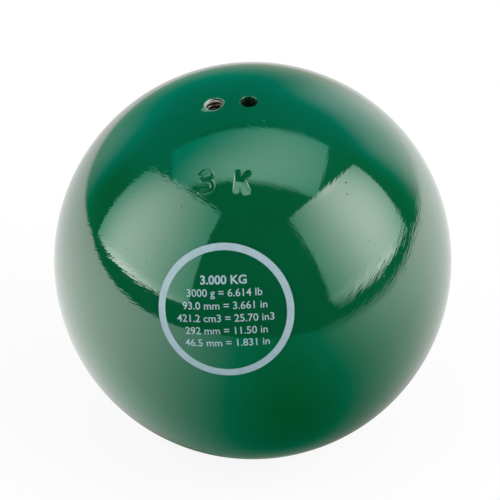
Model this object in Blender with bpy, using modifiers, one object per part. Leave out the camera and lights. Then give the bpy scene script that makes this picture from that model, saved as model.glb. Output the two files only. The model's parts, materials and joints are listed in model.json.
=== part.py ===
"""Shot put of 3 kg: a turned cast-iron ball with a tapped hole and a plain hole near its top, a round
film label on its front, and a lead trim weight that a set screw holds in the tapped hole.

Metres, +Z up. The origin is the ball's lowest point. The stamped and labelled side faces -Y."""

import math

import bpy

# The ball
BALL_DIAMETER = 0.0930
BALL_SEGMENTS = 88
BALL_RINGS = 44

# The two drilled holes. Both run along a radius of the ball, and both end in a drill point.
TAP_BORE_DIAMETER = 0.0039
TAP_BORE_DEPTH = 0.0160
PLAIN_BORE_DIAMETER = 0.0039
PLAIN_BORE_DEPTH = 0.0100
DRILL_POINT_ANGLE = math.radians(118)
MOUTH_CHAMFER = 0.00025
BORE_STEPS = 32

# Where the holes lie: they lean back from the top, the tapped one leans to the left as well, and the
# plain one follows it to the right, this far along the ball's surface
HOLES_LEAN_BACK = math.radians(4.85)
TAPPED_LEANS_LEFT = math.radians(10.95)
HOLE_SPACING = 0.0080

# The set screw, at the diameter of its thread's core
SCREW_LENGTH = 0.0064
SCREW_CLEARANCE = 0.0001
SCREW_TOP_CHAMFER = 0.0003
SCREW_POINT_CHAMFER = 0.0006
CUP_DIAMETER = 0.0021
CUP_DEPTH = 0.0006
SOCKET_ACROSS_FLATS = 0.00238
SOCKET_DEPTH = 0.0024
SCREW_STEPS = 24

# The trim weight under the screw
SLUG_LENGTH = 0.0040
SLUG_CLEARANCE = 0.0001
SLUG_CHAMFER = 0.0002

# Pieces that bear on each other keep this gap
SEAT_GAP = 0.0003

# The label, a disc cut flat and laid over the ball
LABEL_DIAMETER = 0.0314
LABEL_THICKNESS = 0.0001
LABEL_GLUE = 0.0001
LABEL_LEANS_FORWARD = math.radians(60.7)
LABEL_TURNS_LEFT = math.radians(8.8)
LABEL_STEPS = 48
LABEL_ARC_POINTS = 10

# Colours as linear RGB
ENAMEL_GREEN = (0.004, 0.105, 0.043)
PRINT_GREY = (0.60, 0.65, 0.70)
LEAD_GREY = (0.28, 0.29, 0.31)
OXIDE_BLACK = (0.035, 0.035, 0.038)

SMOOTH_ANGLE = math.radians(35)
CUTTER_OVERSHOOT = 0.001
MERGE_DISTANCE = 0.000001

BALL_RADIUS = BALL_DIAMETER / 2


def clear_scene():
    for obj in list(bpy.data.objects):
        bpy.data.objects.remove(obj, do_unlink=True)


def new_collection(name):
    collection = bpy.data.collections.new(name)
    bpy.context.scene.collection.children.link(collection)
    return collection


def make_material(name, colour, roughness, metallic):
    material = bpy.data.materials.new(name)
    material.use_nodes = True
    shader = material.node_tree.nodes["Principled BSDF"]
    shader.inputs["Base Color"].default_value = (*colour, 1.0)
    shader.inputs["Roughness"].default_value = roughness
    shader.inputs["Metallic"].default_value = metallic
    return material


def move_to(obj, collection):
    for other in list(obj.users_collection):
        other.objects.unlink(obj)
    collection.objects.link(obj)


def smooth(mesh):
    mesh.shade_smooth()
    mesh.set_sharp_from_angle(angle=SMOOTH_ANGLE)


def new_axis(name, rotation, collection):
    """An empty at the ball's centre whose +Z points out of the ball along one radius."""
    axis = bpy.data.objects.new(name, None)
    axis.empty_display_size = BALL_RADIUS / 2
    axis.location = (0, 0, BALL_RADIUS)
    axis.rotation_euler = rotation
    collection.objects.link(axis)
    return axis


def turned(name, profile, steps, parent, height, collection):
    """A solid turned round its own Z axis. The profile is (radius, height) points, from top to bottom."""
    mesh = bpy.data.meshes.new(name)
    points = [(radius, 0, z) for radius, z in profile]
    edges = [(i, i + 1) for i in range(len(points) - 1)]
    mesh.from_pydata(points, edges, [])
    obj = bpy.data.objects.new(name, mesh)
    screw = obj.modifiers.new("turn", "SCREW")
    screw.axis = "Z"
    screw.angle = math.tau
    screw.steps = steps
    screw.render_steps = steps
    screw.use_merge_vertices = True
    screw.merge_threshold = MERGE_DISTANCE
    screw.use_smooth_shade = True
    obj.parent = parent
    obj.location = (0, 0, height)
    collection.objects.link(obj)
    return obj


def cut(obj, cutter):
    cutter.hide_render = True
    cutter.display_type = "WIRE"
    boolean = obj.modifiers.new("cut " + cutter.name, "BOOLEAN")
    boolean.operation = "DIFFERENCE"
    boolean.solver = "EXACT"
    boolean.object = cutter


def drill_point_height(radius):
    """How far a drill's point reaches past the end of the full bore."""
    return radius / math.tan(DRILL_POINT_ANGLE / 2)


def drill(name, diameter, depth, axis, cutters):
    """A cutter for one hole: drill point, straight bore and chamfered mouth."""
    radius = diameter / 2
    above = MOUTH_CHAMFER + CUTTER_OVERSHOOT
    profile = [
        (0, CUTTER_OVERSHOOT),
        (radius + above, CUTTER_OVERSHOOT),
        (radius, -MOUTH_CHAMFER),
        (radius, -depth),
        (0, -depth - drill_point_height(radius)),
    ]
    return turned(name, profile, BORE_STEPS, axis, BALL_RADIUS, cutters)


def make_ball(tapped_axis, plain_axis, parts, cutters):
    bpy.ops.mesh.primitive_uv_sphere_add(
        segments=BALL_SEGMENTS,
        ring_count=BALL_RINGS,
        radius=BALL_RADIUS,
        location=(0, 0, BALL_RADIUS),
    )
    ball = bpy.context.object
    ball.name = "shot_body"
    ball.data.name = "shot_body"
    move_to(ball, parts)
    smooth(ball.data)
    cut(ball, drill("tapped_bore", TAP_BORE_DIAMETER, TAP_BORE_DEPTH, tapped_axis, cutters))
    cut(ball, drill("plain_bore", PLAIN_BORE_DIAMETER, PLAIN_BORE_DEPTH, plain_axis, cutters))
    return ball


def make_slug(axis, parts):
    """The lead weight: its lower end has the drill point's cone, so that it beds down in the hole."""
    radius = TAP_BORE_DIAMETER / 2 - SLUG_CLEARANCE
    profile = [
        (0, SLUG_LENGTH),
        (radius - SLUG_CHAMFER, SLUG_LENGTH),
        (radius, SLUG_LENGTH - SLUG_CHAMFER),
        (radius, 0),
        (0, -drill_point_height(radius)),
    ]
    height = BALL_RADIUS - TAP_BORE_DEPTH + SEAT_GAP
    return turned("ballast_slug", profile, SCREW_STEPS, axis, height, parts)


def make_set_screw(axis, parts, cutters):
    """The set screw: a hexagonal socket in its top and a cup point that bites on the lead."""
    radius = TAP_BORE_DIAMETER / 2 - SCREW_CLEARANCE
    profile = [
        (0, SCREW_LENGTH),
        (radius - SCREW_TOP_CHAMFER, SCREW_LENGTH),
        (radius, SCREW_LENGTH - SCREW_TOP_CHAMFER),
        (radius, SCREW_POINT_CHAMFER),
        (CUP_DIAMETER / 2, 0),
        (0, CUP_DEPTH),
    ]
    height = BALL_RADIUS - TAP_BORE_DEPTH + SEAT_GAP + SLUG_LENGTH + SEAT_GAP
    screw = turned("set_screw", profile, SCREW_STEPS, axis, height, parts)
    cut(screw, make_socket(screw, cutters))
    return screw


def make_socket(screw, cutters):
    """The cutter for the hexagonal socket, standing proud of the screw's top."""
    corner_radius = SOCKET_ACROSS_FLATS / 2 / math.cos(math.pi / 6)
    height = SOCKET_DEPTH + CUTTER_OVERSHOOT
    bpy.ops.mesh.primitive_cylinder_add(vertices=6, radius=corner_radius, depth=height)
    socket = bpy.context.object
    socket.name = "hex_socket"
    move_to(socket, cutters)
    socket.parent = screw
    socket.location = (0, 0, SCREW_LENGTH - SOCKET_DEPTH + height / 2)
    return socket


def arc(radius, angle, count):
    """Points from the pole down to this angle from it, as (radius, height)."""
    turns = [angle * i / (count - 1) for i in range(count)]
    return [(radius * math.sin(t), radius * math.cos(t)) for t in turns]


def make_label(axis, parts):
    """The label: a film of even thickness that follows the ball."""
    inner = BALL_RADIUS + LABEL_GLUE
    outer = inner + LABEL_THICKNESS
    reach = LABEL_DIAMETER / 2 / BALL_RADIUS
    top = arc(outer, reach, LABEL_ARC_POINTS)
    underside = arc(inner, reach, LABEL_ARC_POINTS)
    profile = top + underside[::-1]
    return turned("label_film", profile, LABEL_STEPS, axis, 0, parts)


def main():
    clear_scene()
    parts = new_collection("shot_put")
    cutters = new_collection("cutters")

    spacing_angle = HOLE_SPACING / BALL_RADIUS
    tapped_turn = (-HOLES_LEAN_BACK, -TAPPED_LEANS_LEFT, 0)
    plain_turn = (-HOLES_LEAN_BACK, -TAPPED_LEANS_LEFT + spacing_angle, 0)
    label_turn = (LABEL_LEANS_FORWARD, 0, -LABEL_TURNS_LEFT)
    tapped_axis = new_axis("tapped_hole_axis", tapped_turn, parts)
    plain_axis = new_axis("plain_hole_axis", plain_turn, parts)
    label_axis = new_axis("label_axis", label_turn, parts)

    ball = make_ball(tapped_axis, plain_axis, parts, cutters)
    slug = make_slug(tapped_axis, parts)
    screw = make_set_screw(tapped_axis, parts, cutters)
    label = make_label(label_axis, parts)

    ball.data.materials.append(make_material("green_enamel", ENAMEL_GREEN, 0.12, 0.0))
    slug.data.materials.append(make_material("lead", LEAD_GREY, 0.55, 0.9))
    screw.data.materials.append(make_material("black_oxide_steel", OXIDE_BLACK, 0.35, 0.9))
    label.data.materials.append(make_material("label_print", PRINT_GREY, 0.15, 0.0))


main()
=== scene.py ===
# %% [markdown]
# # Dressing an iron shot
#
# The ball comes in from CAD as four plain solids: the ball with its two holes, a label, a set screw and
# a trim weight. This lesson gives each of them the shape and the finish that the eye looks for: gloss
# enamel over wheel marks, a stamped weight mark, a torn thread mouth, print on a clear film, threads.
#
# The CAD frame is loaded first. Everything below is in metres and in its frame, +Z up, with the ball
# resting on the origin.

# %% The frame
import json
import math

import bpy
from mathutils import Euler, Matrix, Vector


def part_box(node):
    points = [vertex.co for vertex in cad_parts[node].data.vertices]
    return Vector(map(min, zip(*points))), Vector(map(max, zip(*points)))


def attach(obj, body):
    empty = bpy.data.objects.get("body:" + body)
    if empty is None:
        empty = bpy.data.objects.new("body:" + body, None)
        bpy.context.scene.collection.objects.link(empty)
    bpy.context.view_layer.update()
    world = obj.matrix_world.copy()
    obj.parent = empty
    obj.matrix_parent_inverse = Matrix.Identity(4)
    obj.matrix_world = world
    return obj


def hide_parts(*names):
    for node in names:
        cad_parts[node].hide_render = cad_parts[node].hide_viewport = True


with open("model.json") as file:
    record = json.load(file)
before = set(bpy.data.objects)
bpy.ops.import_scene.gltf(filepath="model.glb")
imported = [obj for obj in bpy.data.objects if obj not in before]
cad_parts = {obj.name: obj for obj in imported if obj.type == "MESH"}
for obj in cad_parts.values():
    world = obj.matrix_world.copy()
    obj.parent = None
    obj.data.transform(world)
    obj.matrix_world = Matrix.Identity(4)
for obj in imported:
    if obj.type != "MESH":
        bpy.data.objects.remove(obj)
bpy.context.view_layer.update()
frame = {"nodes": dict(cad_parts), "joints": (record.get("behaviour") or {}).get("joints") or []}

MM = 0.001

lowest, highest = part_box("shot_body")
BALL_RADIUS = (highest.z - lowest.z) / 2
BALL_CENTRE = Vector((0, 0, BALL_RADIUS))
tapped_out = Vector(frame["joints"][0]["axis"]).normalized()
print(f"ball radius {BALL_RADIUS / MM:.2f} mm, pieces {sorted(frame['nodes'])}")


def added(name, operator, **settings):
    """Add one object with this operator, alone in the selection, and name it."""
    bpy.ops.object.select_all(action="DESELECT")
    operator(**settings)
    made = bpy.context.object
    made.name = name
    return made


def disc(name, count, radius):
    """A flat disc of one face on the origin."""
    flat = {"fill_type": "NGON", "location": (0, 0, 0)}
    return added(name, bpy.ops.mesh.primitive_circle_add, vertices=count, radius=radius, **flat)


# %% [markdown]
# ## The camera
#
# The photograph looks down at the ball from 44 degrees with a long lens, as for a catalogue. A long lens
# could be imitated with a parallel camera, but a real distance keeps the rim of the ball where a lens puts
# it. The ball sits a little off the middle of the picture, which a small shift of the lens gives without
# turning the camera.

# %% The camera
PICTURE_SIDE = 500
BALL_IN_PICTURE = (252.8, 260.5)
BALL_RADIUS_IN_PICTURE = 198.8
CAMERA_DISTANCE = 0.90
CAMERA_HEIGHT_ANGLE = math.radians(44)
SENSOR_WIDTH = 36.0

to_camera = Vector((0, -math.cos(CAMERA_HEIGHT_ANGLE), math.sin(CAMERA_HEIGHT_ANGLE)))
camera_up = Vector((0, math.sin(CAMERA_HEIGHT_ANGLE), math.cos(CAMERA_HEIGHT_ANGLE)))
camera_place = BALL_CENTRE + to_camera * CAMERA_DISTANCE
rim_angle = math.asin(BALL_RADIUS / CAMERA_DISTANCE)
focal_pixels = BALL_RADIUS_IN_PICTURE / math.tan(rim_angle)

bpy.ops.object.camera_add(location=camera_place, rotation=(math.pi / 2 - CAMERA_HEIGHT_ANGLE, 0, 0))
camera = bpy.context.object
camera.name = "camera"
camera.data.sensor_width = SENSOR_WIDTH
camera.data.lens = focal_pixels * SENSOR_WIDTH / PICTURE_SIDE
camera.data.shift_x = (PICTURE_SIDE / 2 - BALL_IN_PICTURE[0]) / PICTURE_SIDE
camera.data.shift_y = (BALL_IN_PICTURE[1] - PICTURE_SIDE / 2) / PICTURE_SIDE
camera.data.clip_start = 0.01
bpy.context.scene.camera = camera
bpy.context.scene.view_settings.view_transform = "Standard"
print(f"lens {camera.data.lens:.1f} mm")


def out_at(x, y):
    """The direction from the ball's centre to the place on the ball that the picture shows at a pixel."""
    across = (x - BALL_IN_PICTURE[0]) / focal_pixels
    up = (BALL_IN_PICTURE[1] - y) / focal_pixels
    ray = (Vector((1, 0, 0)) * across + camera_up * up - to_camera).normalized()
    back = to_camera * CAMERA_DISTANCE
    along = -back.dot(ray)
    chord = math.sqrt(along**2 - back.length_squared + BALL_RADIUS**2)
    return (back + ray * (along - chord)).normalized()


# %% [markdown]
# ## Shader sums
#
# A procedural finish is mostly arithmetic on masks and noises. Wiring that by hand takes a node for every
# plus and minus, so a small class lets sockets be added and multiplied as numbers are. Each sum makes the
# Math node that does it. Any other node comes from the one method `node`.

# %% Shader sums
MIX_FACTOR, MIX_FIRST, MIX_SECOND, MIX_RESULT = 0, 6, 7, 2


class Wire:
    """An output of a node tree that takes part in sums, or the tree itself when it holds no output."""

    def __init__(self, tree, socket=None):
        self.tree = tree
        self.socket = socket

    def node(self, kind, settings=None, inputs=None, output=0):
        """A new node: its settings first, then the values or wires of its inputs."""
        made = self.tree.nodes.new(kind)
        for name, value in (settings or {}).items():
            setattr(made, name, value)
        for name, value in (inputs or {}).items():
            if isinstance(value, Wire):
                self.tree.links.new(value.socket, made.inputs[name])
            else:
                made.inputs[name].default_value = value
        return Wire(self.tree, made.outputs[output] if made.outputs else None)

    def math(self, operation, *others):
        inputs = dict(enumerate((self, *others)))
        return self.node("ShaderNodeMath", {"operation": operation}, inputs)

    def vector(self, operation, *others, output=0):
        inputs = dict(enumerate((self, *others)))
        return self.node("ShaderNodeVectorMath", {"operation": operation}, inputs, output)

    def __add__(self, other):
        return self.math("ADD", other)

    def __sub__(self, other):
        return self.math("SUBTRACT", other)

    def __rsub__(self, other):
        return self.node("ShaderNodeMath", {"operation": "SUBTRACT"}, {0: other, 1: self})

    def __mul__(self, other):
        return self.math("MULTIPLY", other)

    def __truediv__(self, other):
        return self.math("DIVIDE", other)

    def __pow__(self, other):
        return self.math("POWER", other)

    __radd__ = __add__

    def between(self, low, high):
        """0 below low, 1 above high, and a soft step between them."""
        settings = {"interpolation_type": "SMOOTHSTEP"}
        return self.node("ShaderNodeMapRange", settings, {"Value": self, "From Min": low, "From Max": high})

    def blend(self, first, second):
        """The first colour where this is 0, the second where it is 1."""
        inputs = {MIX_FACTOR: self, MIX_FIRST: opaque(first), MIX_SECOND: opaque(second)}
        return self.node("ShaderNodeMix", {"data_type": "RGBA"}, inputs, MIX_RESULT)

    def noise(self, scale, detail=2.0, roughness=0.5):
        """Cloudy noise from 0 to 1 at these coordinates, with scale features in each unit of length."""
        inputs = {"Vector": self, "Scale": scale, "Detail": detail, "Roughness": roughness}
        return self.node("ShaderNodeTexNoise", None, inputs)

    def part(self, axis):
        return self.node("ShaderNodeSeparateXYZ", None, {0: self}, axis)

    def dot(self, way):
        return self.vector("DOT_PRODUCT", tuple(way), output=1)

    def bump(self, depth):
        """Heights for a shader's Normal. One unit of them is this deep, in metres."""
        return self.node("ShaderNodeBump", None, {"Strength": 1.0, "Distance": depth, "Height": self})


def opaque(colour):
    return colour if isinstance(colour, Wire) else (*colour, 1.0)


def new_material(name, coordinates="Object"):
    """A material with an empty tree, and the wire of its coordinates to start from."""
    material = bpy.data.materials.new(name)
    material.use_nodes = True
    material.node_tree.nodes.clear()
    return material, Wire(material.node_tree).node("ShaderNodeTexCoord", output=coordinates)


def finish_material(start, **sockets):
    """Close a material with one Principled shader, whose inputs are given with _ for each space."""
    inputs = {name.replace("_", " "): value for name, value in sockets.items()}
    shader = start.node("ShaderNodeBsdfPrincipled", None, inputs)
    start.node("ShaderNodeOutputMaterial", None, {"Surface": shader})


# %% [markdown]
# ## The studio light
#
# Gloss paint shows its surroundings, so most of what the photograph shows on the ball is the studio: a
# softbox on either side and a strip overhead, each brightest in one place and falling off towards its
# edges. An area lamp alone gives a flat white patch. So each softbox is two things in one place: a plain
# area lamp, which sheds the light and stays out of the gloss, and a panel that only the gloss sees, whose
# brightness follows soft humps over its face.
#
# The green of this paint is deeper than a screen can show, so the photograph cuts its red off at nothing,
# and a weak reflection stays without red too. Base Color can't go below nothing. So the mirror image of
# each light lacks some of its red and a little of its blue, and its red never passes its green, so that it
# can't turn brown. The light that is shed is neutral, at a level at which a colour renders about as it is
# written.

# %% What the gloss sees
LIGHT_LEVEL = 0.56
WHITE = (1, 1, 1, 1)


def mirror_colour(strength, red, blue):
    """The colour of a light's mirror image. Red and blue are (gain, loss) of its strength."""
    image_red = (strength * red[0] - red[1]).math("MAXIMUM", 0.0).math("MINIMUM", strength)
    image_blue = (strength * blue[0] - blue[1]).math("MAXIMUM", 0.0)
    return strength.node("ShaderNodeCombineColor", None, {0: image_red, 1: strength, 2: image_blue})


def shed_colour(strength):
    """The neutral colour of the light that it sheds."""
    shed = strength * LIGHT_LEVEL
    return shed.node("ShaderNodeCombineColor", None, {0: shed, 1: shed, 2: shed})


def shining(start, colour):
    return start.node("ShaderNodeEmission", None, {"Color": colour, "Strength": 1.0})


def hump(across, up, middle, spread, peak):
    """A soft hump over two coordinates."""
    fall = ((across - middle[0]) / spread[0]) ** 2 + ((up - middle[1]) / spread[1]) ** 2
    return (fall * -1).math("EXPONENT") * peak


# %% The softboxes
SOFT_EDGE = 0.05


def glowing(name, glow, humps, red, blue, bow):
    """A material that glows all over, with humps on it. Its far edge bows in by bow of its height."""
    material, face = new_material(name, "UV")
    across, up = face.part("X"), face.part("Y")
    strength = across * 0 + glow
    for middle, spread, peak in humps:
        strength = strength + hump(across, up, middle, spread, peak)
    if bow:
        edge = (across * 2 - 1) ** 2 * bow + (1 - bow)
        strength = strength * (edge - up).between(-SOFT_EDGE / 2, SOFT_EDGE)
    light = shining(face, mirror_colour(strength, red, blue))
    face.node("ShaderNodeOutputMaterial", None, {"Surface": light})
    return material


def softbox(name, place, turn, size, level, glow, humps, red, blue, bow=0.0):
    """A lamp of this level, and the panel in its place that the gloss sees."""
    place = BALL_CENTRE + Vector(place)
    turn = [math.radians(angle) for angle in turn]
    lamp = added(name, bpy.ops.object.light_add, type="AREA", location=place, rotation=turn)
    lamp.data.shape = "RECTANGLE"
    lamp.data.size, lamp.data.size_y = size
    lamp.data.energy = math.pi * size[0] * size[1] * level * LIGHT_LEVEL
    lamp.visible_glossy = False
    panel = added(name + "_face", bpy.ops.mesh.primitive_plane_add, size=1, location=place, rotation=turn)
    panel.scale = (size[0], size[1], 1)
    panel.data.materials.append(glowing(panel.name, glow, humps, red, blue, bow))
    panel.visible_camera = False
    panel.visible_diffuse = False
    panel.visible_transmission = False
    panel.visible_shadow = False
    print(f"{name}: {size[0]:.2f} by {size[1]:.2f} m")


softbox(
    "softbox_right",
    place=(0.874, 0.013, 0.486),
    turn=(-8.4, 64.0, -44.6),
    size=(0.874, 1.298),
    level=6.3,
    glow=0.0,
    humps=[
        ((0.47, 0.56), (1.0, 0.58), 7.2),
        ((0.5, 0.41), (1.4, 0.24), 1.65),
        ((0.97, 0.35), (0.05, 0.3), 3.0),
        ((0.04, 0.42), (0.05, 0.13), 1.6),
    ],
    red=(1.12, 1.83),
    blue=(1.02, 0.59),
)
softbox(
    "softbox_left",
    place=(-0.843, -0.015, 0.539),
    turn=(73.4, -8.3, -49.4),
    size=(1.342, 0.967),
    level=3.9,
    glow=2.0,
    humps=[((0.51, 0.15), (0.37, 0.98), 5.1), ((0.56, 0.0), (0.30, 0.05), 4.4)],
    red=(1.12, 2.02),
    blue=(0.98, 0.51),
)
softbox(
    "strip_overhead",
    place=(-0.1586, 0.3235, 0.921),
    turn=(-8.3, 9.0, -6.0),
    size=(1.531, 0.664),
    level=1.6,
    glow=1.56,
    humps=[((0.61, 0.14), (0.44, 0.40), 2.76), ((0.80, 0.69), (0.32, 0.44), 1.93)],
    red=(0.85, 1.48),
    blue=(0.89, 0.21),
    bow=0.06,
)

# %% [markdown]
# ### The fill
#
# A lamp low in front lifts the green that the softboxes leave dark. It stays out of the gloss, because the
# photograph shows no image of it.

# %% The fill
FILL_AT = (0, -1.0, 0.12)
FILL_SIZE = 0.8
FILL_LEVEL = 4.2

upright = (math.radians(90), 0, 0)
fill = added("fill_in_front", bpy.ops.object.light_add, type="AREA", location=FILL_AT, rotation=upright)
fill.data.size = FILL_SIZE
fill.data.energy = math.pi * fill.data.size**2 * FILL_LEVEL * LIGHT_LEVEL
fill.visible_glossy = False

# %% [markdown]
# ## The table and the room
#
# The table is white and fills the picture behind the ball. To the camera it is white light with a faint
# share of its real shading, which keeps the ball's shadow. The gloss doesn't see that white, which would
# wash out the dark gaps between the lights. It sees a studio: a board with a slanting left edge, which glows
# with painted light and shade: pools where the softboxes would light it from the left and the right, dim in
# front, where the camera and its stand would keep the light off, and a painted shadow where the ball itself
# would shade it. The light that the board sheds on the ball is this painted glow too. The board's image
# loses more red towards the camera's side. Past the board's edges the mirror looks through to the room,
# which is dim, with a grey glow low behind the table.

# %% The table
TABLE_RADIUS = 8.0
SHADOW_SHARE = 0.13
BOARD_LEFT, BOARD_RIGHT, BOARD_FAR = -0.75, 0.75, 0.22
BOARD_SLANT = 0.2
EDGE_BLUR = 0.03
# Painted light and shade on the board: a pool from each softbox, shade in front, and the ball's shadow near
# it.
POOL_LEFT = (math.radians(-106.5), 1.99, 3.37, 0.061)
POOL_RIGHT = (math.radians(84.3), 1.96, 3.08, 0.115)
SHADE_IN_FRONT = (math.radians(162.5), 3.08, -0.75, 0.04)
POOLS_START = 0.03
BOARD_DIM = 0.293
FRONTAL = (-0.686, 0.9)
RED_GAIN, RED_LOSS, RED_ALWAYS = 0.995, 1.212, -0.122
BLUE_LOSS = 0.352


def seen_directly(start):
    """1 for what the camera sees, also through something clear."""
    straight = start.node("ShaderNodeLightPath", output="Is Camera Ray")
    return straight.math("MAXIMUM", start.node("ShaderNodeLightPath", output="Is Transmission Ray"))


def past(place, edge):
    """0 before an edge of the board, 1 past it."""
    return place.between(edge - EDGE_BLUR, edge + EDGE_BLUR)


def pool(heading, away, shape):
    """Painted light on the board on one side, painted shade where strong is below nothing, and a painted
    shadow near the ball: its heading from +Y towards +X, how narrow, how strong, its reach.
    """
    towards, narrow, strong, reach = shape
    ahead = heading.dot((math.sin(towards), math.cos(towards), 0))
    fan = ((ahead - 1) * narrow).math("EXPONENT")
    return fan * strong * (1 - ((POOLS_START - away) / reach).math("EXPONENT"))


table = disc("table", 96, TABLE_RADIUS)
table_white, spot = new_material("table_white")
x, y = spot.part("X"), spot.part("Y")
away = spot.vector("LENGTH", output=1)
heading = spot.vector("NORMALIZE")
pools = pool(heading, away, POOL_LEFT) + pool(heading, away, POOL_RIGHT)
pools = pools + pool(heading, away, SHADE_IN_FRONT)
pools = (pools + BOARD_DIM).math("MAXIMUM", 0.0)
on_board = past(x - y * BOARD_SLANT, BOARD_LEFT) * (1 - past(x, BOARD_RIGHT)) * (1 - past(y, BOARD_FAR))
from_ball = spot.vector("SUBTRACT", tuple(BALL_CENTRE)).vector("NORMALIZE")
frontal = from_ball.dot(to_camera).between(*FRONTAL)
red_loss = frontal * RED_LOSS + RED_ALWAYS
image = mirror_colour(pools, red=(RED_GAIN, red_loss), blue=(1.0, frontal * BLUE_LOSS))
mirrored = spot.node("ShaderNodeLightPath", output="Is Glossy Ray")
lit = shining(spot, mirrored.blend(shed_colour(pools), image))
gone = spot.node("ShaderNodeBsdfTransparent", None, {"Color": WHITE})
board = spot.node("ShaderNodeMixShader", None, {0: on_board, 1: gone, 2: lit})
shaded = spot.node("ShaderNodeBsdfDiffuse", None, {"Color": WHITE})
white = spot.node("ShaderNodeMixShader", None, {0: SHADOW_SHARE, 1: shining(spot, WHITE), 2: shaded})
surface = spot.node("ShaderNodeMixShader", None, {0: seen_directly(spot), 1: board, 2: white})
spot.node("ShaderNodeOutputMaterial", None, {"Surface": surface})
table.data.materials.append(table_white)
print(f"table {2 * TABLE_RADIUS:.0f} m across, its lit board {BOARD_RIGHT - BOARD_LEFT:.2f} m")

# %% The room
world = bpy.data.worlds.new("studio")
bpy.context.scene.world = world
world.use_nodes = True
world.node_tree.nodes.clear()
start = Wire(world.node_tree)
ROOM_DIM = 0.64
BEHIND_TABLE = (-0.2, 0.5)
SIDE_BLUR = 0.2
RED_LOST, RED_LOST_ON_LEFT, RED_LOST_HIGH_UP = 0.45, 0.28, 1.3
BLUE_KEPT, BLUE_LOST, BLUE_LOST_ON_LEFT = 1.05, 0.15, 0.05
LOBES = (
    (33, -1, 20, 24, 1.1, 4),
    (-38, 0, 12, 16, 0.42, 2),
    (70, 15, 18, 30, -0.55, 4),
    (-70, 7, 18, 17, -0.5, 4),
)


def lobe(way, heading, height, wide, tall, strength, flat):
    """A light or dark patch: heading from +Y towards +X, height, spread, strength, how flat its top is."""
    heading, height = math.radians(heading), math.radians(height)
    level = math.cos(height)
    out = Vector((math.sin(heading) * level, math.cos(heading) * level, math.sin(height)))
    right = Vector((math.cos(heading), -math.sin(heading), 0))
    above = right.cross(out)
    across = way.dot(right) / math.sin(math.radians(wide))
    rise = way.dot(above) / math.sin(math.radians(tall))
    fall = across.math("ABSOLUTE") ** flat + rise.math("ABSOLUTE") ** flat
    return (fall * -1).math("EXPONENT") * way.dot(out).math("GREATER_THAN", 0.0) * strength


way = start.node("ShaderNodeTexCoord", output="Generated").vector("NORMALIZE")
room = way.part("Y").between(*BEHIND_TABLE) * ROOM_DIM
for shape in LOBES:
    room = room + lobe(way, *shape)
room = room.math("MAXIMUM", 0.0)
left_side = 1 - way.part("X").between(-SIDE_BLUR, SIDE_BLUR)
image_red = room - RED_LOST - left_side * RED_LOST_ON_LEFT - way.part("Z") * RED_LOST_HIGH_UP
image_red = image_red.math("MAXIMUM", 0.0)
image_blue = (room * BLUE_KEPT - BLUE_LOST - left_side * BLUE_LOST_ON_LEFT).math("MAXIMUM", 0.0)
image = start.node("ShaderNodeCombineColor", None, {0: image_red, 1: room, 2: image_blue})
plain = shed_colour(room)
mirrored = start.node("ShaderNodeLightPath", output="Is Glossy Ray")
dim = start.node("ShaderNodeBackground", None, {"Color": mirrored.blend(plain, image), "Strength": 1.0})
white = start.node("ShaderNodeBackground", None, {"Color": WHITE, "Strength": 1.0})
backdrop = start.node("ShaderNodeMixShader", None, {0: seen_directly(start), 1: dim, 2: white})
start.node("ShaderNodeOutputWorld", None, {"Surface": backdrop})
print("room and table lit")

# %% [markdown]
# ## The enamel
#
# The paint is one thick gloss coat over a ground casting. Three things give it away as paint and not as
# glass: fine marks of the grinding wheel that the coat half fills, which fray the edges of every
# reflection, a slow waviness of the coat, and fine dust in it. The marks run in arcs round one pole on the
# ball's left and round another on its right, where they are longer and deeper, and weaker near the top. They
# could be cut into the mesh, but they are a few micrometres deep, so a bump is the right tool here.

# %% The enamel
ENAMEL_GREEN = (0.001, 0.077, 0.028)
ENAMEL_DEEP = (0.001, 0.070, 0.025)
LEFT_MARKS = {"pole": (-0.582, -0.771, -0.259), "pitch": 0.30 * MM, "length": 2.0 * MM}
RIGHT_MARKS = {"pole": (-0.520, -0.114, 0.846), "pitch": 0.28 * MM, "length": 3.5 * MM}
LEFT_DEPTH, RIGHT_DEPTH = 9.5, 16.0
RIGHT_STARTS, RIGHT_ALONE = 10 * MM, 18 * MM
RIGHT_FADES, FADES_BY = (74 * MM, 83 * MM), 0.65
WAVE_HEIGHT, PEEL_HEIGHT, DUST_HEIGHT = 4.0, 3.0, 1.5
FILM_WAVE_HEIGHT, FILM_PEEL_HEIGHT = 2.0, 0.8
MICROMETRE = 1e-6


def paint_colour(spot):
    cloud = spot.noise(60, 3)
    return cloud.between(0.3, 0.7).blend(ENAMEL_GREEN, ENAMEL_DEEP)


def wheel_marks(spot, pole, pitch, length):
    """Heights from about -1/2 to 1/2 in short arcs round a pole: long round it, one pitch wide across."""
    pole = Vector(pole).normalized()
    from_centre = spot.vector("SUBTRACT", tuple(BALL_CENTRE))
    across = from_centre.dot(pole) / pitch
    slow = spot.node("ShaderNodeVectorMath", {"operation": "SCALE"}, {0: from_centre, "Scale": 1 / length})
    quick = spot.node("ShaderNodeVectorMath", {"operation": "SCALE"}, {0: tuple(pole), "Scale": across})
    return slow.vector("ADD", quick).noise(1.0, 0.0) - 0.5


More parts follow.
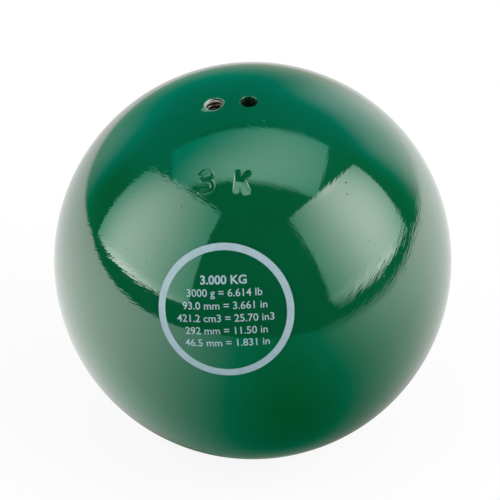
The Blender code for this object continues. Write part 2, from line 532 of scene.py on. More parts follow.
def enamel(name, marked):
    """The green gloss coat, with or without the wheel's marks in it. Heights are in micrometres."""
    material, spot = new_material(name)
    wave = spot.noise(220, 1.0) - 0.5
    peel = spot.noise(1100, 1.0) - 0.5
    if marked:
        dust = spot.noise(900, 1.0).between(0.74, 0.82)
        side = spot.part("X").between(RIGHT_STARTS, RIGHT_ALONE)
        left = wheel_marks(spot, **LEFT_MARKS) * (1 - side) * LEFT_DEPTH
        faded = 1 - spot.part("Z").between(*RIGHT_FADES) * FADES_BY
        right = wheel_marks(spot, **RIGHT_MARKS) * side * faded * RIGHT_DEPTH
        height = left + right + wave * WAVE_HEIGHT + peel * PEEL_HEIGHT + dust * DUST_HEIGHT
    else:
        height = wave * FILM_WAVE_HEIGHT + peel * FILM_PEEL_HEIGHT
    finish_material(spot, Base_Color=paint_colour(spot), Roughness=0.05, Normal=height.bump(MICROMETRE))
    return material


green_enamel = enamel("green_enamel", marked=True)
film_over_green = enamel("film_over_green", marked=False)

# %% [markdown]
# ## The bare metals and the print
#
# Where the tap has cut, cast iron shows, bright and browned towards the right, with the thread's roots
# blacked out below the mouth as painted shade. The torn coat's edge is pale; down in the plain hole the
# coat is thin, and darkened further as painted shade.
# The set screw is black oxide steel, the trim weight is lead and the print is pale ink. Each gets its own
# noise, because one flat colour reads as plastic. Three differ in numbers only, so one function makes them.

# %% The other finishes
THREAD_LAND, THREAD_ROOT = 1.98 * MM, 2.12 * MM
ROOT_SHADE_ENDS = (BALL_RADIUS - 0.40 * MM, BALL_RADIUS - 0.25 * MM)
RUST_TO_RIGHT = 2.0
IRON, RUST, ROOT_SHADE_BLACK = (0.50, 0.45, 0.41), (0.16, 0.085, 0.06), (0.010, 0.006, 0.004)
THIN_COAT_SHADED, BARE_BORE_SHADED = (0.001, 0.030, 0.012), (0.010, 0.008, 0.006)
INK_DARK, INK_PALE = (0.262, 0.357, 0.404), (0.300, 0.394, 0.446)
TORN_PAINT = ((0.012, 0.10, 0.055), (0.13, 0.27, 0.19))
BLACK_OXIDE = ((0.030, 0.030, 0.033), (0.060, 0.055, 0.052))
DULL_LEAD = ((0.22, 0.23, 0.25), (0.36, 0.36, 0.37))
ROUGH_RANGE = 0.2


def bare_iron():
    """Cut iron: bright, browner to the right, with the thread's roots blacked out below the mouth as painted
    shade.
    """
    material, spot = new_material("bare_iron")
    from_centre = spot.vector("SUBTRACT", tuple(BALL_CENTRE))
    along = from_centre.dot(tapped_out)
    off_axis = from_centre.vector("CROSS_PRODUCT", tuple(tapped_out)).vector("LENGTH", output=1)
    rightwards = from_centre.dot((1, 0, 0)) / BALL_RADIUS - tapped_out.x
    rust = (spot.noise(2400, 3.0, 0.6) + rightwards * RUST_TO_RIGHT).between(0.42, 0.60)
    # Painted shade: the thread's roots turn black below the mouth.
    root = off_axis.between(THREAD_LAND, THREAD_ROOT) * (1 - along.between(*ROOT_SHADE_ENDS))
    colour = root.blend(rust.blend(IRON, RUST), ROOT_SHADE_BLACK)
    scratch = spot.noise(5200, 2.0).bump(15 * MICROMETRE)
    metal = {"Metallic": 0.35 - rust * 0.25, "Roughness": 0.34 + rust * 0.3, "Specular_IOR_Level": 0.25}
    finish_material(spot, Base_Color=colour, Normal=scratch, **metal)
    return material


def bore_coat_and_shade():
    """The thin coat that the spray leaves down in a hole, made darker still as painted shade in the hole."""
    material, spot = new_material("bore_coat_and_shade")
    # Both colours hold painted shade as well as the thin coat and the bare iron under it.
    patchy = spot.noise(1500, 3.0, 0.6).between(0.42, 0.62)
    colour, bump = patchy.blend(THIN_COAT_SHADED, BARE_BORE_SHADED), patchy.bump(10 * MICROMETRE)
    finish_material(spot, Base_Color=colour, Roughness=0.3 + patchy * 0.4, Normal=bump)
    return material


def label_ink():
    material, spot = new_material("label_ink")
    cloud = spot.noise(420, 3.0, 0.55)
    grain = spot.noise(5000, 1.0).bump(1.5 * MICROMETRE)
    colour = cloud.between(0.3, 0.7).blend(INK_DARK, INK_PALE)
    rough = 0.35 + cloud * 0.15
    finish_material(spot, Base_Color=colour, Roughness=rough, Specular_IOR_Level=0.2, Normal=grain)
    return material


def mottled(name, noise, edges, colours, depth, least_rough, **sockets):
    """A finish in which one noise makes the colour, the grain and the roughness."""
    material, spot = new_material(name)
    cloud = spot.noise(*noise)
    colour = cloud.between(*edges).blend(*colours)
    rough = least_rough + cloud * ROUGH_RANGE
    finish_material(spot, Base_Color=colour, Roughness=rough, Normal=cloud.bump(depth), **sockets)
    return material


matt, metal = {"Specular_IOR_Level": 0.25}, {"Metallic": 0.9}
iron, bore = bare_iron(), bore_coat_and_shade()
torn = mottled("torn_paint", (2600, 3.0, 0.6), (0.35, 0.65), TORN_PAINT, 20 * MICROMETRE, 0.4, **matt)
ink = label_ink()
oxide = mottled("black_oxide", (900, 4.0, 0.6), (0.35, 0.7), BLACK_OXIDE, 8 * MICROMETRE, 0.28, **metal)
lead = mottled("dull_lead", (700, 4.0, 0.6), (0.3, 0.7), DULL_LEAD, 20 * MICROMETRE, 0.45, **metal)

# %% [markdown]
# ## Working by hand, from a script
#
# The pieces below are made with the same operators that the mouse would call. A few small helpers keep
# that short: one makes an object the only one selected, one selects faces by their place, one draws an
# outline by extruding a single vertex from point to point, and one turns such an outline into a body. Cuts
# leave slivers, far too fine for the eye, and the last one merges those.

# %% Hand tools
MERGED = 1e-7
SLIVER = 0.001 * MM


def pick(obj):
    bpy.ops.object.select_all(action="DESELECT")
    obj.select_set(True)
    bpy.context.view_layer.objects.active = obj


def edit(obj, kind):
    """Open the object in edit mode, picking vertices, edges or faces."""
    pick(obj)
    bpy.ops.object.mode_set(mode="EDIT")
    bpy.ops.mesh.select_mode(type=kind)


def leave():
    bpy.ops.object.mode_set(mode="OBJECT")


def choose_faces(obj, chosen):
    """Select the faces for whose middle chosen is true."""
    edit(obj, "FACE")
    bpy.ops.mesh.select_all(action="DESELECT")
    leave()
    for face in obj.data.polygons:
        face.select = chosen(face.center)


def modify(obj, kind, **settings):
    """Add a modifier with these settings and apply it."""
    pick(obj)
    modifier = obj.modifiers.new(kind.lower(), kind)
    for name, value in settings.items():
        setattr(modifier, name, value)
    bpy.ops.object.modifier_apply(modifier=modifier.name)


def face_outwards(obj):
    edit(obj, "VERT")
    bpy.ops.mesh.select_all(action="SELECT")
    bpy.ops.mesh.remove_doubles(threshold=MERGED)
    bpy.ops.mesh.normals_make_consistent(inside=False)
    leave()


def drawn_line(name, points):
    """A line drawn from one vertex, extruded from point to point. Points are radius and height."""
    line = added(name, bpy.ops.mesh.primitive_plane_add, size=MM, location=(0, 0, 0))
    edit(line, "VERT")
    bpy.ops.mesh.select_all(action="SELECT")
    bpy.ops.mesh.merge(type="CENTER")
    radius, height = points[0]
    bpy.ops.transform.translate(value=(radius, 0, height))
    for before, after in zip(points, points[1:]):
        step = (after[0] - before[0], 0, after[1] - before[1])
        bpy.ops.mesh.extrude_vertices_move(TRANSFORM_OT_translate={"value": step})
    leave()
    return line


def turned(name, points, steps, pitch=0.0, turns=1):
    """A body turned from an outline round its own Z, or a thread where pitch is given."""
    body = drawn_line(name, points)
    modify(
        body,
        "SCREW",
        axis="Z",
        angle=math.tau,
        steps=steps,
        render_steps=steps,
        screw_offset=pitch,
        iterations=turns,
        use_merge_vertices=True,
        merge_threshold=MERGED,
        use_smooth_shade=True,
    )
    face_outwards(body)
    return body


def move_in(obj, matrix):
    """Give the object its place, and bake that place into its mesh."""
    pick(obj)
    obj.matrix_world = matrix
    bpy.ops.object.transform_apply(location=True, rotation=True, scale=True)


def cut(body, cutter):
    """Take the cutter out of the body. The cut faces keep the cutter's material."""
    modify(body, "BOOLEAN", operation="DIFFERENCE", solver="EXACT", object=cutter, material_mode="TRANSFER")
    bpy.data.objects.remove(cutter)


def clear_slivers(body):
    """Merge corners that a cut left within a micrometre of each other, and drop the faces between them."""
    edit(body, "VERT")
    bpy.ops.mesh.select_all(action="SELECT")
    bpy.ops.mesh.remove_doubles(threshold=SLIVER)
    bpy.ops.mesh.dissolve_degenerate(threshold=SLIVER)
    leave()


def arc(centre, radius, start, end, count):
    """Points along an arc, with angles in degrees."""
    angles = [math.radians(start + (end - start) * i / (count - 1)) for i in range(count)]
    return [(centre[0] + radius * math.cos(a), centre[1] + radius * math.sin(a)) for a in angles]


def patch(outward):
    """A frame on the ball at a direction: X to the right in the picture, Y up over the ball, Z outwards."""
    z = outward.normalized()
    x = (Vector((1, 0, 0)) - z * z.x).normalized()
    y = z.cross(x)
    turn = Matrix((x, y, z)).transposed().to_4x4()
    return Matrix.Translation(BALL_CENTRE) @ turn


# %% [markdown]
# ## Where things are on the ball
#
# The tapped hole lies along the axis on which the set screw comes out, so the frame's own joint gives it.
# The plain hole follows it to the right. The label leans forward and a little to the left. The stamped
# mark and the blemishes in the paint are placed by where the photograph shows them.

# %% Places
HOLES_LEAN_BACK = math.radians(4.85)
TAPPED_LEANS_LEFT = math.radians(10.95)
HOLE_SPACING = 8.0 * MM
LABEL_LEANS_FORWARD = math.radians(60.7)
LABEL_TURNS_LEFT = math.radians(8.8)
STAMP_AT = (225, 182)
PINHOLES_AT = ((182, 206), (169, 220), (147, 264), (126, 249), (103, 273))
PINHOLES_AT += ((346, 182), (347, 194), (369, 241), (434, 305))
SPECKS_AT = ((263.8, 120.3), (223, 382))

up = Vector((0, 0, 1))
plain_turn = Euler((-HOLES_LEAN_BACK, -TAPPED_LEANS_LEFT + HOLE_SPACING / BALL_RADIUS, 0))
plain_out = plain_turn.to_matrix() @ up
label_out = Euler((LABEL_LEANS_FORWARD, 0, -LABEL_TURNS_LEFT)).to_matrix() @ up
stamp_out = out_at(*STAMP_AT)
places = {"tapped hole": tapped_out, "plain hole": plain_out, "label": label_out, "stamp": stamp_out}
for name, out in places.items():
    print(f"{name}: {math.degrees(out.angle(up)):.1f} degrees from the top")

# %% [markdown]
# ## The ball
#
# A UV sphere pinches at its poles, and the pinch would show in the gloss. So the ball starts as a cube
# that is divided evenly and then cast to a sphere. The small things need finer faces than the rest: the
# faces round them are divided again and again, and each time the new corners go back on the sphere.

# %% The ball
CUBE_CUTS = 63
FINE, LESS_FINE = 4, 3
MARGIN = 1.2 * MM


def round_off(obj):
    modify(obj, "CAST", cast_type="SPHERE", factor=1.0, size=BALL_RADIUS, use_radius_as_size=False)


def refine(obj, outward, reach, levels):
    """Divide the faces of the ball within reach (across, up) of a place."""
    into = patch(outward).inverted()
    into.translation = into.translation + into.to_3x3() @ BALL_CENTRE
    for level in range(levels):
        margin = MARGIN / 2**level

        def near(centre):
            local = into @ centre
            across = abs(local.x) / (reach[0] + margin)
            along = abs(local.y) / (reach[1] + margin)
            return local.z > 0 and across**4 + along**4 < 1

        choose_faces(obj, near)
        edit(obj, "FACE")
        bpy.ops.mesh.subdivide(number_cuts=1, ngon=False)
        leave()
    round_off(obj)


cube_side = 2 * BALL_RADIUS / math.sqrt(3)
ball = added("enamelled_ball", bpy.ops.mesh.primitive_cube_add, size=cube_side, location=BALL_CENTRE)
edit(ball, "FACE")
bpy.ops.mesh.select_all(action="SELECT")
bpy.ops.mesh.subdivide(number_cuts=CUBE_CUTS)
leave()
round_off(ball)

STAMP_REACH = (6.9 * MM, 4.3 * MM)
HOLE_REACH = (3.9 * MM, 3.9 * MM)
PINHOLE_REACH = (0.4 * MM, 0.4 * MM)
pinholes = [out_at(*place) for place in PINHOLES_AT]
specks = [out_at(*place) for place in SPECKS_AT]
refine(ball, stamp_out, STAMP_REACH, FINE)
refine(ball, tapped_out, HOLE_REACH, FINE)
refine(ball, plain_out, HOLE_REACH, LESS_FINE)
for blemish in pinholes + specks:
    refine(ball, blemish, PINHOLE_REACH, FINE)
move_in(ball, ball.matrix_world.copy())
print(f"ball before its marks: {len(ball.data.polygons)} faces")

# %% [markdown]
# ## The stamped mark
#
# The mark gives the ball's weight class as a number and a unit, struck with 6 mm letter punches before
# painting. The coat has filled it, so its edges are soft. Letters cut with a boolean would have hard walls.
# Instead the fine faces are pressed in. Each stroke of a character is a line, with a steep shoulder for most
# of its wall and a wide skirt for the rest. The floor is a blunt cone, deepest in one place. The letter has
# a groove in its stem and a crease in its leg. These sizes are in millimetres.

# %% The stamped mark
SHOULDER, SHOULDER_SHARE = 0.14, 0.8
SKIRT, SKIRT_SHARE = 0.34, 0.2
GROOVE_SHOULDER, CONE_TIP = 0.09, 0.1
THREE = (
    ([(-5.65, 2.1)] + arc((-4.2, 1.9), 1.15, 150, -62, 12) + [(-5.0, 0.8)], 0.52),
    (arc((-4.2, -0.6), 1.42, 62, -95, 12) + [(-5.65, -2.1)], 0.50),
)
KAY = (
    ([(2.95, 2.1), (2.55, -2.1)], 0.76),
    ([(3.3, 0.1), (5.2, 1.95)], 0.74),
    ([(3.9, -0.35), (4.8, -2.5)], 0.96),
)
STEM_GROOVE = ([(2.85, 1.9), (2.45, 0.2)], 0.30, 0.045)
LEG_CREASE = ([(4.0, -0.55), (5.1, -2.1)], 0.06, 0.10)
KAY_GROOVES = (STEM_GROOVE, LEG_CREASE)
CHARACTERS = (
    {"strokes": THREE, "grooves": (), "middle": (-4.2, -1.8), "flat": 0.5, "reach": 6.5, "depth": 0.34},
    {"strokes": KAY, "grooves": KAY_GROOVES, "middle": (3.6, 0.0), "flat": 0.7, "reach": 3.5, "depth": 0.40},
)


def distance_to_line(x, y, points):
    best = 1e9
    for (ax, ay), (bx, by) in zip(points, points[1:]):
        dx, dy = bx - ax, by - ay
        t = ((x - ax) * dx + (y - ay) * dy) / (dx * dx + dy * dy)
        t = min(1.0, max(0.0, t))
        best = min(best, math.hypot(x - ax - t * dx, y - ay - t * dy))
    return best


def smooth_step(t):
    t = min(1.0, max(0.0, t))
    return t * t * (3 - 2 * t)


def struck(x, y, strokes, shoulder):
    """1 in the strokes, 0 outside, and a soft step between."""
    beyond = min(distance_to_line(x, y, line) - half_width for line, half_width in strokes)
    return 1 - smooth_step((beyond + shoulder) / (2 * shoulder))


def stamp_height(x, y):
    """How far the mark presses the ball in at a place, in metres. The place is in mm."""
    depth = 0.0
    for character in CHARACTERS:
        dx, dy = x - character["middle"][0], y - character["middle"][1]
        off = math.sqrt((dx * character["flat"]) ** 2 + dy**2 + CONE_TIP) / character["reach"]
        inside = struck(x, y, character["strokes"], SHOULDER) * SHOULDER_SHARE
        inside += struck(x, y, character["strokes"], SKIRT) * SKIRT_SHARE
        depth = max(depth, inside * (1 - min(1.0, off)) * character["depth"])
        for line, half_width, groove_depth in character["grooves"]:
            depth += struck(x, y, [(line, half_width)], GROOVE_SHOULDER) * groove_depth
    return -depth * MM


def press(obj, outward, reach, height):
    """Move the corners near a place in or out by height(x, y), where x and y are in mm on the ball."""
    frame_here = patch(outward)
    into = frame_here.inverted()
    for corner in obj.data.vertices:
        local = into @ corner.co
        if local.z > 0 and abs(local.x) < reach and abs(local.y) < reach:
            out = (corner.co - BALL_CENTRE).normalized()
            corner.co += out * height(local.x / MM, local.y / MM)


press(ball, stamp_out, 7.5 * MM, stamp_height)

# %% [markdown]
# ## Pinholes and specks in the paint
#
# The coat has a few pinholes, each a dimple a third of a millimetre across, and two raised specks. The same
# tool presses the first in and lifts the others.

# %% Pinholes and specks
PINHOLE_DEPTH, PINHOLE_WIDTH = 0.05 * MM, 0.17
SPECK_HEIGHT, SPECK_WIDE, SPECK_TALL = 0.05 * MM, 0.22, 0.14
BLEMISH_REACH = 0.8 * MM


def pinhole_height(x, y):
    return -PINHOLE_DEPTH * math.exp(-(x * x + y * y) / PINHOLE_WIDTH**2)


def speck_height(x, y):
    return SPECK_HEIGHT * math.exp(-((x / SPECK_WIDE) ** 2 + (y / SPECK_TALL) ** 2))


for pinhole in pinholes:
    press(ball, pinhole, BLEMISH_REACH, pinhole_height)
for speck in specks:
    press(ball, speck, BLEMISH_REACH, speck_height)

# %% [markdown]
# ## The two holes
#
# Both holes are drilled 3.9 mm along a radius of the ball. The plain one was painted after drilling, so
# the coat rolls over its lip and thins out down its wall. The other was tapped after painting, and the tap
# broke the paint: a bevel of bare metal lies open round the mouth, with torn paint round it and a tear at
# the lower left. Each cut is a boolean, and each cutter carries the material that its cut should show.

# %% The plain hole
BORE_RADIUS = 1.95 * MM
PLAIN_DEPTH = 10.0 * MM
TAPPED_DEPTH = 16.0 * MM
LIP = 0.25 * MM
LIP_RISE, LIP_RING, LIP_WIDTH = 0.029, 2.3, 0.28
DROP_RISE, DROP_AT, DROP_SIZE = 0.07, (-2.05, 0.3), (0.22, 0.3)
LIP_PROUD = 0.03 * MM
ABOVE = 1.0 * MM
BORE_STEPS = 64
DRILL_POINT_ANGLE = math.radians(118)
DRILL_POINT = BORE_RADIUS / math.tan(DRILL_POINT_ANGLE / 2)


def lip_height(x, y):
    """The paint's rolled lip, a little proud of the ball, with a drop of paint on its left."""
    lip = LIP_RISE * math.exp(-(((math.hypot(x, y) - LIP_RING) / LIP_WIDTH) ** 2))
    across, up = (x - DROP_AT[0]) / DROP_SIZE[0], (y - DROP_AT[1]) / DROP_SIZE[1]
    drop = DROP_RISE * math.exp(-(across**2) - up**2)
    return (lip + drop) * MM


def drill(name, mouth, depth, material):
    """A drill with its point down, and a mouth drawn as radius and depth from the ball's surface."""
    outline = [(radius, BALL_RADIUS + height) for radius, height in mouth]
    outline += [(BORE_RADIUS, BALL_RADIUS - depth), (0, BALL_RADIUS - depth - DRILL_POINT)]
    bit = turned(name, outline, BORE_STEPS)
    bit.data.materials.append(material)
    return bit


press(ball, plain_out, 3.6 * MM, lip_height)
turns = [math.radians(15 * i) for i in range(7)]
rolled = [(BORE_RADIUS + LIP * (1 - math.sin(turn)), -LIP * (1 - math.cos(turn))) for turn in turns]
surface_drop = (BORE_RADIUS + LIP) ** 2 / (2 * BALL_RADIUS)
rolled = [(radius, height - surface_drop + LIP_PROUD) for radius, height in rolled]
rim, rim_height = rolled[0]
mouth = [(0, ABOVE), (rim + 0.6 * MM, ABOVE), (rim + 0.12 * MM, rim_height + 0.10 * MM)] + rolled
bit = drill("plain_bit", mouth, PLAIN_DEPTH, green_enamel)
# The wall below the lip gets the thin coat with painted shade.
bit.data.materials.append(bore)
for face in bit.data.polygons:
    face.material_index = 1 if face.center.z < BALL_RADIUS - LIP else 0
move_in(bit, patch(plain_out))
ball.data.materials.append(green_enamel)
cut(ball, bit)
print(f"plain hole {2 * BORE_RADIUS / MM:.1f} mm, faces {len(ball.data.polygons)}")

# %% [markdown]
# ### The torn ring and the thread
#
# The paint's edge is first curled up a little. The cutter for the bevel and the torn paint is shallow, and
# its outline wanders and runs out to a point at the tear. It is built ring by ring: a disc is extruded, and
# each new rim is then laid out by its angle. The thread is cut with a tap, as in the workshop: one tooth's
# outline, turned along a screw line. A drill then cuts the smooth end of the hole.

# %% The torn ring
BEVEL_DEPTH, BEVEL_INNER, BEVEL_OUTER = 0.24 * MM, 1.93 * MM, 2.14 * MM
BEVEL_FLOOR = 0.9 * MM
TORN_DEPTH = 0.06 * MM
TORN_EDGE = 0.15 * MM
TORN_RADIUS = 2.26
TEAR_ANGLE, TEAR_REACH, TEAR_BEFORE, TEAR_AFTER = 208, 0.98, 12, 32
RIPPLES = ((0.05, 3, 40), (0.03, 7, 0))
CURL_RISE, CURL_AT, CURL_WIDTH = 0.065 * MM, 0.14, 0.30


def torn_radius(angle):
    """The torn ring's outline at an angle in degrees, in mm."""
    off = (angle - TEAR_ANGLE + 180) % 360 - 180
    spread = TEAR_BEFORE if off < 0 else TEAR_AFTER
    ripple = sum(size * math.sin(math.radians(count * angle + turn)) for size, count, turn in RIPPLES)
    return TORN_RADIUS + TEAR_REACH * math.exp(-((off / spread) ** 2)) + ripple


def built_up(name, rings, count):
    """A closed body from a disc that is extruded ring by ring. A ring gives radius and height at an angle."""
    body = disc(name, count, MM)
    for number, ring in enumerate(rings):
        edit(body, "FACE")
        if number:
            bpy.ops.mesh.extrude_region_move()
        leave()
        for corner in body.data.vertices:
            if corner.select:
                angle = math.atan2(corner.co.y, corner.co.x)
                radius, height = ring(math.degrees(angle))
                corner.co = (radius * math.cos(angle), radius * math.sin(angle), height)
    face_outwards(body)
    return body


def on_ball(radius, depth):
    """Radius and height of a ring that lies this deep under the ball's surface."""
    return radius, math.sqrt((BALL_RADIUS - depth) ** 2 - radius**2)


def torn_lip(x, y):
    """The paint's edge round the tear, curled up a little."""
    past_edge = math.hypot(x, y) - torn_radius(math.degrees(math.atan2(y, x))) - CURL_AT
    return CURL_RISE * max(0.0, 1 - abs(past_edge) / CURL_WIDTH)


press(ball, tapped_out, 4.2 * MM, torn_lip)
torn_rings = [
    lambda angle: on_ball(BEVEL_FLOOR, BEVEL_DEPTH),
    lambda angle: on_ball(BEVEL_INNER, BEVEL_DEPTH),
    lambda angle: on_ball(BEVEL_OUTER, 1.4 * TORN_DEPTH),
    lambda angle: on_ball(torn_radius(angle) * MM, TORN_DEPTH),
    lambda angle: on_ball(torn_radius(angle) * MM + TORN_EDGE, -0.01 * MM),
    lambda angle: on_ball(torn_radius(angle) * MM + 2 * TORN_EDGE, -ABOVE),
]
chip = built_up("torn_ring", torn_rings, 96)
chip.data.materials.append(torn)
chip.data.materials.append(iron)
for face in chip.data.polygons:
    bare = math.hypot(face.center.x, face.center.y) < BEVEL_OUTER
    face.material_index = 1 if bare else 0
move_in(chip, patch(tapped_out))
cut(ball, chip)
print(f"torn ring cut, faces {len(ball.data.polygons)}")

# %% The thread
PITCH = 1.058 * MM
TAP_MAJOR = 2.40 * MM
TAP_CORE = BORE_RADIUS - 0.05 * MM
TAP_REACH = 12.5 * MM
OVERLAP = 0.3 * MM
CREST = 0.10 * MM
FLANK_ANGLE = math.radians(30)
TOOTH_STARTS = 1.337


def slice_flat(body, height, keep_below):
    """Cut a body flat at a height and close the cut."""
    edit(body, "FACE")
    bpy.ops.mesh.select_all(action="SELECT")
    bpy.ops.mesh.bisect(
        plane_co=(0, 0, height),
        plane_no=(0, 0, 1),
        use_fill=True,
        threshold=MERGED,
        clear_outer=keep_below,
        clear_inner=not keep_below,
    )
    leave()


def threaded_bar(name, core, major, bottom, top, steps=48):
    """A bar with a right-hand thread, cut flat at both ends. The tooth is a 60 degree one."""
    flank = (major - core) * math.tan(FLANK_ANGLE)
    root = PITCH - CREST - 2 * flank
    start = bottom - TOOTH_STARTS * PITCH
    tooth = [(core, 0), (core, root), (major, root + flank), (major, root + flank + CREST), (core, PITCH)]
    tooth = [(radius, start + height) for radius, height in tooth]
    turns = math.ceil((top - bottom) / PITCH) + 3
    bar = turned(name, tooth, steps, PITCH, turns)
    slice_flat(bar, bottom, keep_below=False)
    slice_flat(bar, top, keep_below=True)
    face_outwards(bar)
    return bar


tap = threaded_bar("tap", TAP_CORE, TAP_MAJOR, BALL_RADIUS - TAP_REACH, BALL_RADIUS + ABOVE)
tap.data.materials.append(iron)
move_in(tap, patch(tapped_out))
print(f"tap: {len(tap.data.polygons)} faces")
cut(ball, tap)
lower_end = OVERLAP - TAP_REACH
bit = drill("tap_drill", [(0, lower_end), (BORE_RADIUS, lower_end)], TAPPED_DEPTH, iron)
move_in(bit, patch(tapped_out))
cut(ball, bit)
clear_slivers(ball)
print(f"ball with both holes: {len(ball.data.polygons)} faces")

# %% [markdown]
# ### Normals
#
# Where a boolean has cut the fine faces, the smoothed normals lean a little, and the gloss would show it
# as a wobble. The ball's own normals are known exactly: they point away from its centre. So every corner
# of a face that is still on the sphere gets that normal, and the rest keep their own.

# %% Normals
SMOOTH_ANGLE = math.radians(40)
ON_SPHERE = 2e-6


def smooth(obj):
    pick(obj)
    bpy.ops.object.shade_smooth_by_angle(angle=SMOOTH_ANGLE)


def round_normals(obj):
    """Point the normals of all faces that lie on the sphere straight out from its centre."""
    mesh = obj.data
    outward = [corner.co - BALL_CENTRE for corner in mesh.vertices]
    on_sphere = [abs(out.length - BALL_RADIUS) < ON_SPHERE for out in outward]
    normals = [Vector((0, 0, 0))] * len(mesh.loops)
    for face in mesh.polygons:
        if all(on_sphere[index] for index in face.vertices):
            for loop in face.loop_indices:
                normals[loop] = outward[mesh.loops[loop].vertex_index].normalized()
    mesh.normals_split_custom_set(normals)


smooth(ball)
round_normals(ball)
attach(ball, "shot")
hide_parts("shot_body")

# %% [markdown]
# ## The label
#
# The label is a round clear film with a ring printed on its rim. The film is glued down, so light meets
# only its top surface and then the paint below: it is modelled in the paint's colour, but without the
# wheel's marks, which it bridges. Inside the ring stand plain numbers: the ball's weight, width, volume,
# girth and radius. Film, ring and figures are laid over the ball, not stood off flat.

# %% The film and its ring
LABEL_RADIUS = 15.70 * MM
FILM_UNDERSIDE = BALL_RADIUS + 0.10 * MM
FILM_TOP = BALL_RADIUS + 0.20 * MM
RING_OUTER = 15.53 * MM
RING_INNER = 13.88 * MM
PRINT_TOP = FILM_TOP + 0.02 * MM
PRINT_UNDERSIDE = FILM_TOP - 0.01 * MM


def over_ball(radius, reach_from, reach_to, count):
    """Points over the ball from one reach to another, measured along its surface from the middle."""
    turns = [(reach_from + (reach_to - reach_from) * i / (count - 1)) / BALL_RADIUS for i in range(count)]
    return [(radius * math.sin(turn), radius * math.cos(turn)) for turn in turns]


def laid_on_label(obj, material):
    """Put a piece that was made round +Z in the label's place."""
    obj.data.materials.clear()
    obj.data.materials.append(material)
    move_in(obj, patch(label_out))
    smooth(obj)
    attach(obj, "shot")


top = over_ball(FILM_TOP, 0, LABEL_RADIUS, 24)
underside = over_ball(FILM_UNDERSIDE, 0, LABEL_RADIUS, 24)
film = turned("label_clear_film", top + underside[::-1], 128)
laid_on_label(film, film_over_green)
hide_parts("label_film")

top = over_ball(PRINT_TOP, RING_INNER, RING_OUTER, 6)
underside = over_ball(PRINT_UNDERSIDE, RING_INNER, RING_OUTER, 6)
ring = turned("label_ring", top + underside[::-1] + top[:1], 160)
laid_on_label(ring, ink)
print(f"film {len(film.data.polygons)} faces, ring {len(ring.data.polygons)} faces")

# %% The figures
TITLE, LINE = (2.75, 0.07), (2.45, 0.02)
FIGURES = (
    ("3.000 KG", *TITLE),
    ("3000 g = 6.614 lb", *LINE),
    ("93.0 mm = 3.661 in", *LINE),
    ("421.2 cm3 = 25.70 in3", *LINE),
    ("292 mm = 11.50 in", *LINE),
    ("46.5 mm = 1.831 in", *LINE),
)
LINE_PITCH = 2.9 * MM
FIRST_LINE = 7.2 * MM
FIGURES_TURN = math.radians(3.4)


def wrap(obj, height):
    """Lay a flat piece over the ball: its X and Y become ways along the surface from the middle."""
    for corner in obj.data.vertices:
        reach = math.hypot(corner.co.x, corner.co.y)
        heading = math.atan2(corner.co.y, corner.co.x)
        turn = reach / BALL_RADIUS
        flat = height * math.sin(turn)
        corner.co = (flat * math.cos(heading), flat * math.sin(heading), height * math.cos(turn))


def printed_line(number, words, size, bold):
    """One line of figures. Its size, and how far its strokes are thickened, are in mm."""
    line = added(f"label_figures_{number}", bpy.ops.object.text_add, location=(0, 0, 0))
    line.data.body = words
    line.data.size = size
    line.data.offset = bold
    line.data.align_x = "CENTER"
    line.data.align_y = "CENTER"
    line.data.resolution_u = 4
    pick(line)
    bpy.ops.object.convert(target="MESH")
    place = Matrix.Translation((0, FIRST_LINE - number * LINE_PITCH, 0)) @ Matrix.Scale(MM, 4)
    line.data.transform(Matrix.Rotation(FIGURES_TURN, 4, "Z") @ place)
    wrap(line, PRINT_UNDERSIDE)
    modify(line, "SOLIDIFY", thickness=PRINT_TOP - PRINT_UNDERSIDE, offset=1.0)
    face_outwards(line)
    return line


for number, (words, size, bold) in enumerate(FIGURES):
    laid_on_label(printed_line(number, words, size, bold), ink)

# %% [markdown]
# ## The set screw and the trim weight
#
# Both lie down in the tapped hole, where nobody looks until the screw comes out. The screw gets its
# thread, a hexagonal socket and a cup point. It is made in the same way as the tap: a threaded bar. Only
# what it has in common with a turned blank is kept, which gives it its chamfers and its cup.

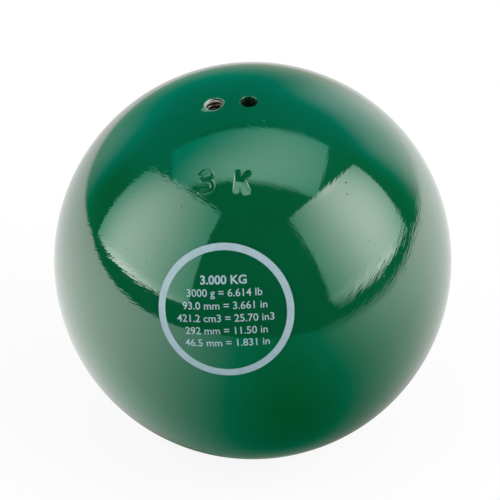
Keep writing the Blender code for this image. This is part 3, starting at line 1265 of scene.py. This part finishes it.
# %% The set screw
SCREW_LENGTH = 6.4 * MM
SEAT_GAP = 0.3 * MM
SLUG_LENGTH = 4.0 * MM
SCREW_CORE = 1.85 * MM
SCREW_MAJOR = 2.30 * MM
SOCKET_ACROSS_FLATS = 2.38 * MM
SOCKET_DEPTH = 2.4 * MM
slug_foot = BALL_RADIUS - TAPPED_DEPTH + SEAT_GAP
screw_foot = slug_foot + SLUG_LENGTH + SEAT_GAP
screw_head = screw_foot + SCREW_LENGTH

screw = threaded_bar("set_screw_threaded", SCREW_CORE, SCREW_MAJOR, screw_foot - MM, screw_head + MM)
blank = [
    (0, screw_head),
    (1.65 * MM, screw_head),
    (SCREW_MAJOR + 0.1 * MM, screw_head - 0.5 * MM),
    (SCREW_MAJOR + 0.1 * MM, screw_foot + 1.1 * MM),
    (1.25 * MM, screw_foot + 0.04 * MM),
    (1.15 * MM, screw_foot),
    (1.05 * MM, screw_foot + 0.04 * MM),
    (0, screw_foot + 0.6 * MM),
]
blank = turned("blank", blank, 48)
modify(screw, "BOOLEAN", operation="INTERSECT", solver="EXACT", object=blank)
bpy.data.objects.remove(blank)

socket_height = SOCKET_DEPTH + MM
socket = added(
    "socket",
    bpy.ops.mesh.primitive_cylinder_add,
    vertices=6,
    radius=SOCKET_ACROSS_FLATS / 2 / math.cos(math.pi / 6),
    depth=socket_height,
    location=(0, 0, screw_head - SOCKET_DEPTH + socket_height / 2),
)
modify(screw, "BOOLEAN", operation="DIFFERENCE", solver="EXACT", object=socket)
bpy.data.objects.remove(socket)
clear_slivers(screw)
screw.data.materials.clear()
screw.data.materials.append(oxide)
move_in(screw, patch(tapped_out))
smooth(screw)
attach(screw, "set_screw")
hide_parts("set_screw")
print(f"set screw {len(screw.data.polygons)} faces")

# %% The trim weight
SLUG_RADIUS = 1.85 * MM
slug_line = [
    (0, SLUG_LENGTH - 0.05 * MM),
    (SLUG_RADIUS - 0.25 * MM, SLUG_LENGTH),
    (SLUG_RADIUS - 0.08 * MM, SLUG_LENGTH - 0.08 * MM),
    (SLUG_RADIUS, SLUG_LENGTH - 0.25 * MM),
    (SLUG_RADIUS, 0),
    (0, -SLUG_RADIUS / math.tan(DRILL_POINT_ANGLE / 2)),
]
slug = turned("trim_weight", [(radius, slug_foot + height) for radius, height in slug_line], 64)
slug.data.materials.append(lead)
move_in(slug, patch(tapped_out))
smooth(slug)
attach(slug, "shot")
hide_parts("ballast_slug")
